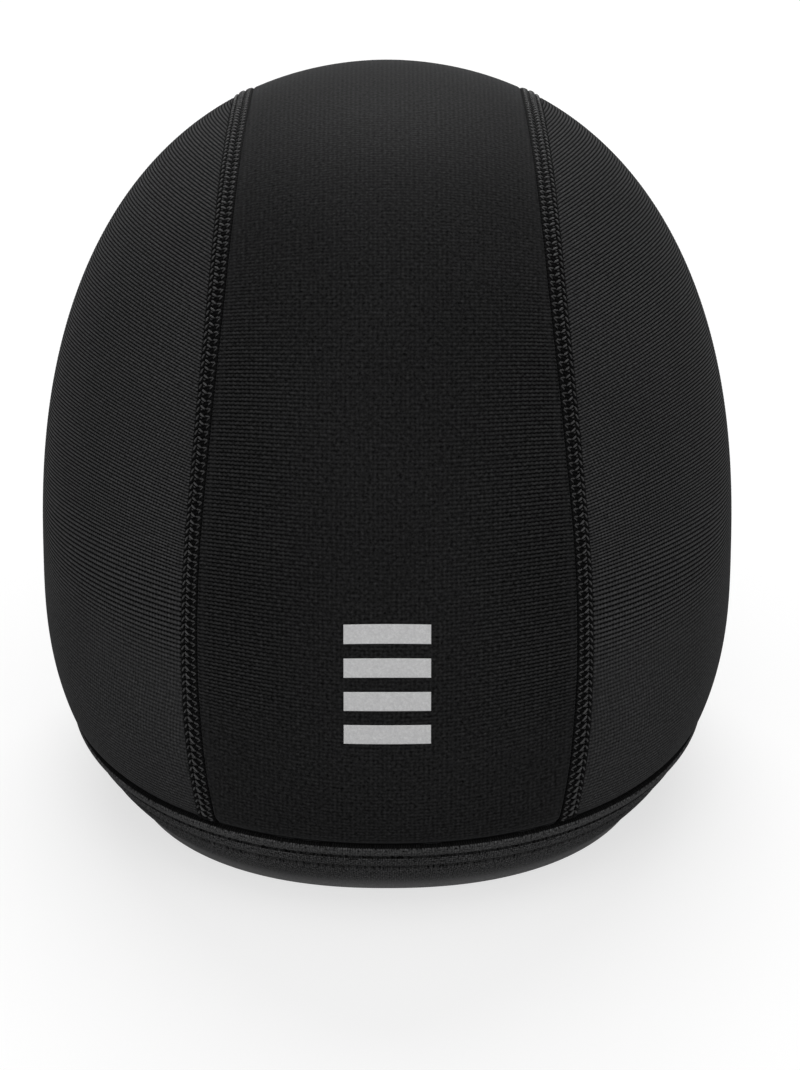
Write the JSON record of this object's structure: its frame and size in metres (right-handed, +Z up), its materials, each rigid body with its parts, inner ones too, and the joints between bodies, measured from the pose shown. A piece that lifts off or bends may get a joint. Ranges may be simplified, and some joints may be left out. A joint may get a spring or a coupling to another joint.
{
  "type": "helmet liner cap",
  "caption": "Thin stretch-knit skull cap worn under a helmet: panelled crown with raised flatlocked seams, elastic hem band and reflective bars low on the rear.",
  "frame": {"origin": "centre of the cap's bounding box on the plane of the hem's flat lower edge, which is the plane the cap rests on", "axes": "+Z up through the top of the head, -Y toward the front of the cap, +Y toward the back with the reflective bars, +X toward the wearer's left"},
  "size_m": [0.1558, 0.197, 0.1597],
  "materials": {
    "center_knit": "smooth black stretch knit with fine horizontal courses",
    "side_knit": "black stretch knit with fine raised ribs",
    "seam_thread": "black flatlock stitching",
    "hem_elastic": "dark grey ribbed elastic",
    "reflective_film": "light grey reflective transfer film with a fine glitter grain"
  },
  "bodies": {
    "root": {"crown_center_panel": "center_knit", "side_panel_left": "side_knit", "side_panel_right": "side_knit", "seam_left": "seam_thread", "seam_right": "seam_thread", "hem_band": "hem_elastic", "reflective_bar_1": "reflective_film", "reflective_bar_2": "reflective_film", "reflective_bar_3": "reflective_film", "reflective_bar_4": "reflective_film"}
  },
  "joints": []
}
